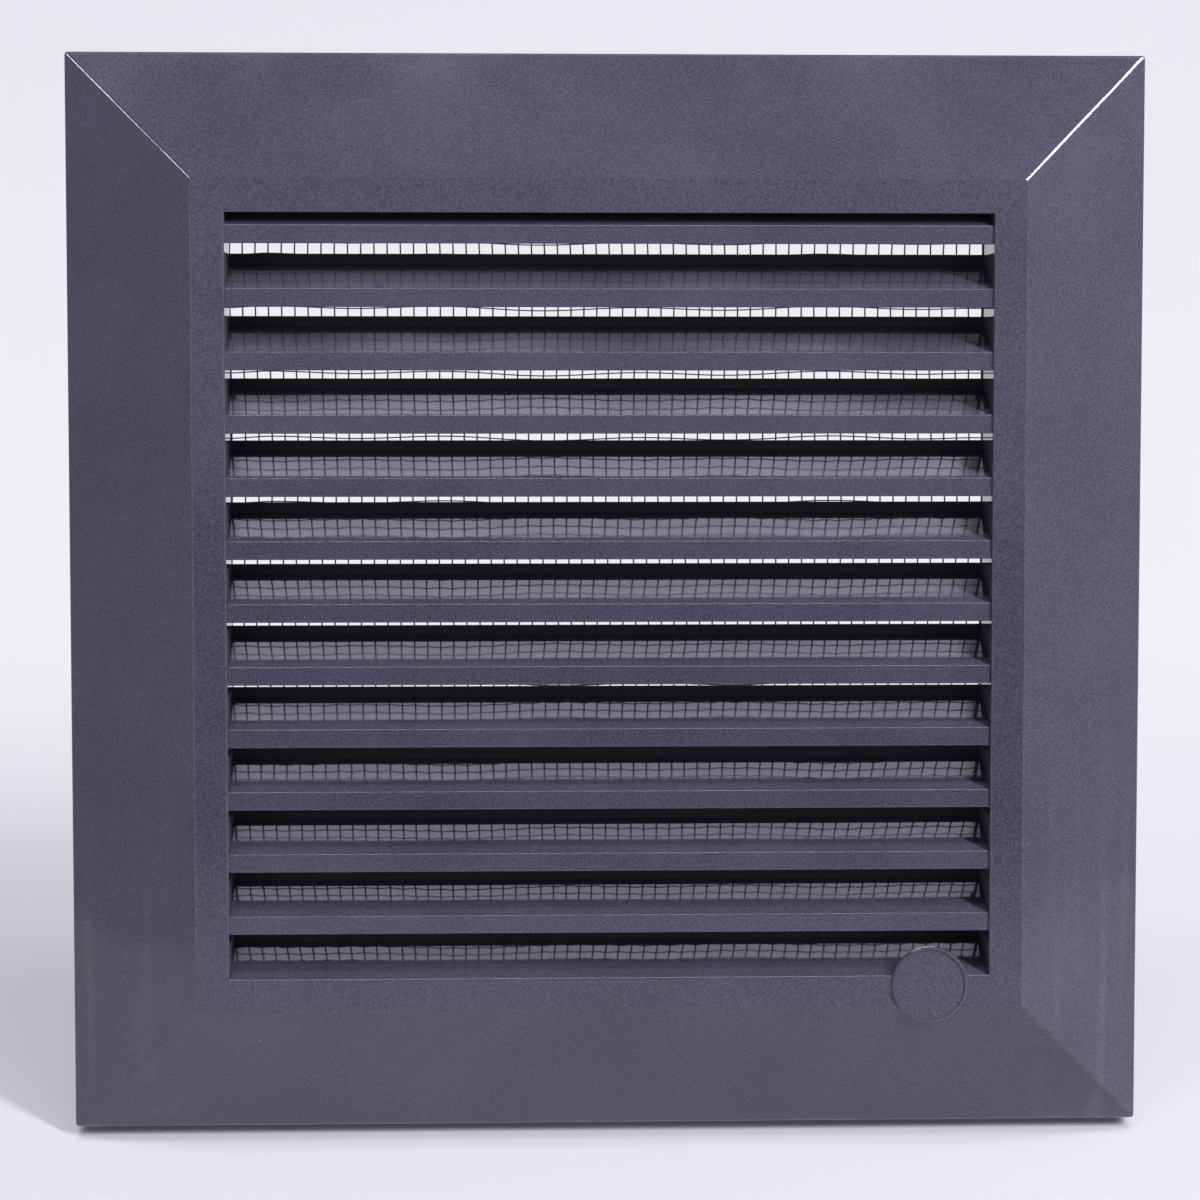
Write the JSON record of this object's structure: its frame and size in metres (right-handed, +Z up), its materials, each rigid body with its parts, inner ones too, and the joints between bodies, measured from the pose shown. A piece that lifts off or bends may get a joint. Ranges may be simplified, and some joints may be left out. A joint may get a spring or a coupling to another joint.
{
  "type": "louvred vent",
  "caption": "Square wall vent with a mitred frame, fixed horizontal rain slats and a fine insect net behind them.",
  "frame": {"origin": "centre of the rear rim, on the wall face", "axes": "+Y into the wall, +Z up, +X to the right seen from the front"},
  "size_m": [0.14, 0.0144, 0.14],
  "materials": {
    "graphite_plastic": "semi-gloss moulded graphite grey, with fine dust and faint flow marks",
    "net_fibre": "dark grey coated fibre net, slightly wavy strands"
  },
  "bodies": {
    "root": {"grille": "graphite_plastic", "insect_mesh": "net_fibre"}
  },
  "joints": []
}
